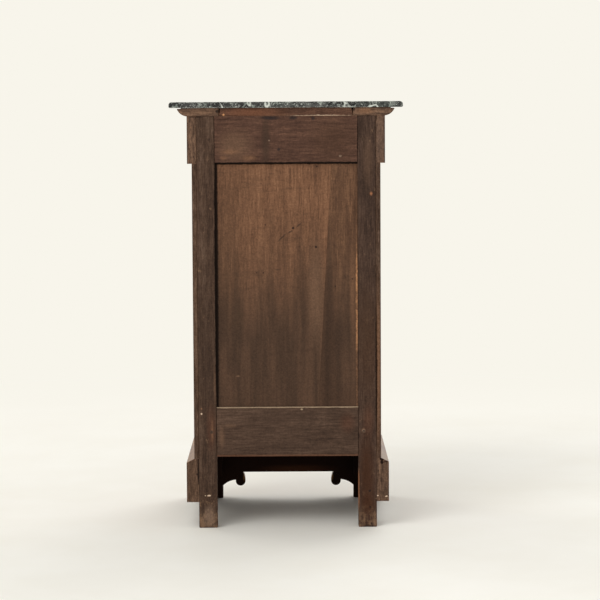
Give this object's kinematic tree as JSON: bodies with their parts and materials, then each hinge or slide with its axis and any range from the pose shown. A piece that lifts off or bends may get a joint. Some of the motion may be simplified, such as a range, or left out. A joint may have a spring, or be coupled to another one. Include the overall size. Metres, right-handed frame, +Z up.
{
  "type": "nightstand",
  "caption": "Bedside cabinet with a marble top, frieze drawer, cupboard door with turn latch, framed back and scroll-bracket plinth.",
  "frame": {"origin": "on the floor under the middle of the marble top", "axes": "+Z up, -Y towards the front with the door, +X to the right seen from the front"},
  "size_m": [0.418, 0.3712, 0.768],
  "materials": {
    "back_wood": "dull aged",
    "case_wood": "polished",
    "inner_wood": "raw",
    "marble": "polished",
    "brass": "aged",
    "iron": "dark"
  },
  "bodies": {
    "carcass": {"back_bottom_rail": "back_wood", "back_panel_narrow_board": "back_wood", "back_panel_wide_board": "back_wood", "back_pegs": "back_wood", "back_top_rail": "back_wood", "bottom_board": "inner_wood", "bottom_cleat_left": "inner_wood", "bottom_cleat_right": "inner_wood", "case_hinge_screws": "brass", "cornice_front": "case_wood", "cornice_left": "case_wood", "cornice_rear_strip": "back_wood", "cornice_right": "case_wood", "door_stop": "inner_wood", "drawer_guide_left": "inner_wood", "drawer_guide_right": "inner_wood", "drawer_rail": "case_wood", "drawer_runner_left": "inner_wood", "drawer_runner_right": "inner_wood", "frieze_side_left": "case_wood", "frieze_side_right": "case_wood", "front_bottom_rail": "case_wood", "front_facing_left": "case_wood", "front_facing_right": "case_wood", "front_post_left": "inner_wood", "front_post_right": "inner_wood", "lower_hinge_case_leaf": "brass", "lower_hinge_pin": "brass", "marble_top": "marble", "plinth_front": "case_wood", "plinth_glue_blocks": "inner_wood", "plinth_left": "case_wood", "plinth_right": "case_wood", "rear_stile_left": "back_wood", "rear_stile_right": "back_wood", "shelf": "inner_wood", "shelf_cleat_left": "inner_wood", "shelf_cleat_right": "inner_wood", "side_panel_left": "case_wood", "side_panel_right": "case_wood", "upper_hinge_case_leaf": "brass", "upper_hinge_pin": "brass"},
    "drawer": {"drawer_face": "case_wood", "drawer_inner_front": "inner_wood", "drawer_side_left": "inner_wood", "drawer_side_right": "inner_wood", "drawer_back": "inner_wood", "drawer_bottom": "inner_wood", "drawer_knob": "brass"},
    "door": {"door_hinge_stile": "case_wood", "door_latch_stile": "case_wood", "door_top_rail": "case_wood", "door_bottom_rail": "case_wood", "door_panel": "case_wood", "lower_hinge_door_leaf": "brass", "upper_hinge_door_leaf": "brass", "door_hinge_screws": "brass"},
    "latch": {"latch_knob": "brass", "latch_spindle": "iron", "latch_tongue": "iron"}
  },
  "joints": [
    {"name": "drawer_slide", "type": "slide", "parent": "carcass", "child": "drawer", "axis": [0, -1, 0], "range_m": [0, 0.22]},
    {"name": "door_hinge", "type": "hinge", "parent": "carcass", "child": "door", "pos_m": [0.126, -0.14877, 0.39225], "axis": [0, 0, 1], "range_deg": [0, 165]},
    {"name": "latch_turn", "type": "hinge", "parent": "door", "child": "latch", "pos_m": [-0.10275, -0.13537, 0.39225], "axis": [0, -1, 0], "range_deg": [0, 90]}
  ]
}
